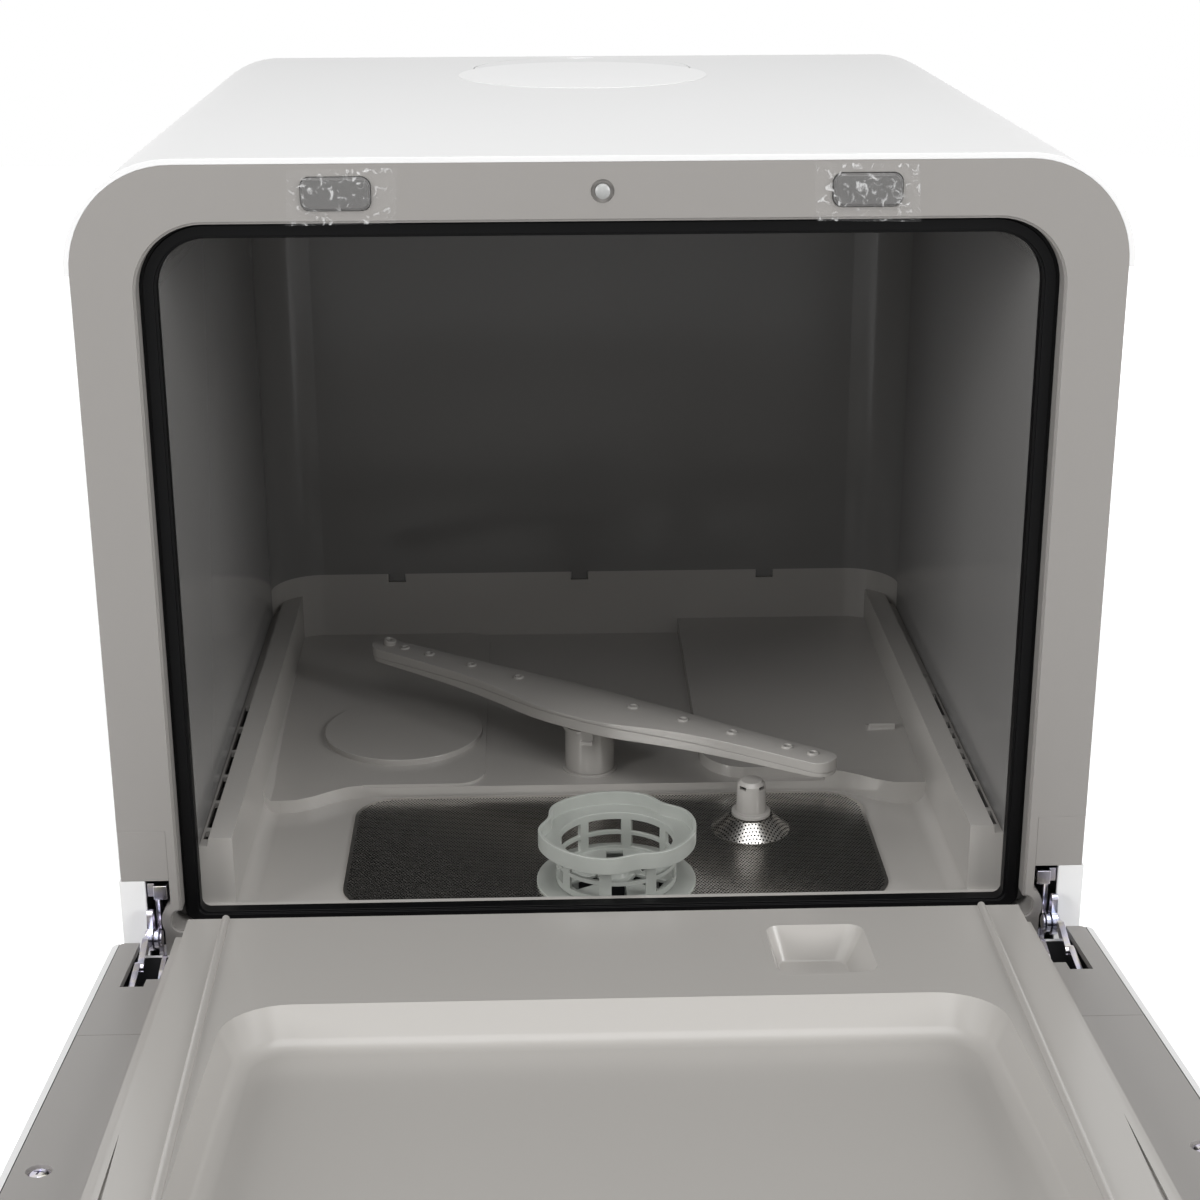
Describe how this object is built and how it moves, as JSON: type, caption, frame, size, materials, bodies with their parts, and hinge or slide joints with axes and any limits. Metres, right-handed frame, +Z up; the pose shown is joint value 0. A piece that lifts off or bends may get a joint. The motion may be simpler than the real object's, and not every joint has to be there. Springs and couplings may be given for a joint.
{
  "type": "countertop dishwasher",
  "caption": "Compact countertop dishwasher with a drop-down front door, spray arm, filter and lift-off fill lid",
  "frame": {"origin": "on the counter plane, under the middle of the bounding box with the door open", "axes": "+X to the viewer's right seen from the front, +Y from the front to the back, +Z up; millimetre drawing, metre file"},
  "size_m": [0.43, 0.7458, 0.435],
  "materials": {
    "white_casing": "smooth",
    "white_plastic": "satin",
    "frame_plastic": "satin",
    "grey_plastic": "satin",
    "filter_plastic": "satin, slightly clear",
    "tub_plastic": "smooth",
    "tank_plastic": "satin, slightly clear",
    "dark_plastic": "matt",
    "rubber": "matt",
    "stainless": "brushed",
    "zinc": "zinc plated",
    "window": "smooth",
    "circuit_board": "coated"
  },
  "bodies": {
    "cabinet": {"top_cover": "white_casing", "side_panel_left": "white_casing", "side_panel_right": "white_casing", "back_panel": "white_casing", "base_pan": "grey_plastic", "feet": "rubber", "front_frame": "frame_plastic", "frame_corner_left": "frame_plastic", "frame_corner_right": "frame_plastic", "door_gasket": "rubber", "latch_magnet_left": "frame_plastic", "latch_magnet_right": "frame_plastic", "door_switch": "dark_plastic", "tub": "tub_plastic", "tub_base": "grey_plastic", "spray_hub": "grey_plastic", "micro_filter": "filter_plastic", "filter_plate": "stainless", "sump": "dark_plastic", "wash_pump": "dark_plastic", "wash_motor": "stainless", "drain_pump": "dark_plastic", "heater": "stainless", "wash_hose": "rubber", "drain_hose": "rubber", "water_tank": "tank_plastic", "fill_funnel": "grey_plastic", "inlet_valve": "dark_plastic", "drain_port": "dark_plastic", "cord_gland": "rubber", "drying_fan": "dark_plastic", "control_board": "circuit_board", "control_panel": "white_casing", "display_window": "window", "hinge_bracket_left": "zinc", "hinge_bracket_right": "zinc", "hinge_pin_left": "zinc", "hinge_pin_right": "zinc", "back_screws": "zinc"},
    "door": {"door_shell": "white_casing", "door_trim": "frame_plastic", "door_hinge_cover_left": "frame_plastic", "door_hinge_cover_right": "frame_plastic", "door_liner": "grey_plastic", "door_strikes": "stainless", "door_screws": "zinc", "hinge_arm_left": "zinc", "hinge_arm_right": "zinc"},
    "spray_arm": {"spray_arm_upper": "grey_plastic", "spray_arm_lower": "grey_plastic"},
    "filter_cup": {"filter_cup": "filter_plastic"},
    "fill_lid": {"fill_lid": "white_casing"},
    "float_cap": {"float_cap": "grey_plastic"},
    "power_button": {"power_button": "frame_plastic"},
    "program_button": {"program_button": "frame_plastic"},
    "dry_button": {"dry_button": "frame_plastic"},
    "start_button": {"start_button": "frame_plastic"},
    "door_plunger": {"door_plunger": "white_plastic"}
  },
  "joints": [
    {"name": "door_hinge", "type": "hinge", "parent": "cabinet", "child": "door", "pos_m": [0, -0.03307, 0.0952], "axis": [-1, 0, 0], "range_deg": [0, 83.7]},
    {"name": "spray_spin", "type": "hinge", "parent": "cabinet", "child": "spray_arm", "pos_m": [-0.002, 0.13593, 0.13], "axis": [0, 0, 1], "continuous": true},
    {"name": "filter_cup_lift", "type": "slide", "parent": "cabinet", "child": "filter_cup", "axis": [0, 0, 1], "range_m": [0, 0.06]},
    {"name": "fill_lid_lift", "type": "slide", "parent": "cabinet", "child": "fill_lid", "axis": [0, 0, 1], "range_m": [0, 0.03]},
    {"name": "float_rise", "type": "slide", "parent": "cabinet", "child": "float_cap", "axis": [0, 0, 1], "range_m": [0, 0.004]},
    {"name": "power_button_press", "type": "slide", "parent": "cabinet", "child": "power_button", "axis": [0, 1, 0], "range_m": [0, 0.001], "stiffness_N_per_m": 1500},
    {"name": "program_button_press", "type": "slide", "parent": "cabinet", "child": "program_button", "axis": [0, 1, 0], "range_m": [0, 0.001], "stiffness_N_per_m": 1500},
    {"name": "dry_button_press", "type": "slide", "parent": "cabinet", "child": "dry_button", "axis": [0, 1, 0], "range_m": [0, 0.001], "stiffness_N_per_m": 1500},
    {"name": "start_button_press", "type": "slide", "parent": "cabinet", "child": "start_button", "axis": [0, 1, 0], "range_m": [0, 0.001], "stiffness_N_per_m": 1500},
    {"name": "door_plunger_press", "type": "slide", "parent": "cabinet", "child": "door_plunger", "axis": [0, 1, 0], "range_m": [0, 0.002], "stiffness_N_per_m": 400}
  ]
}
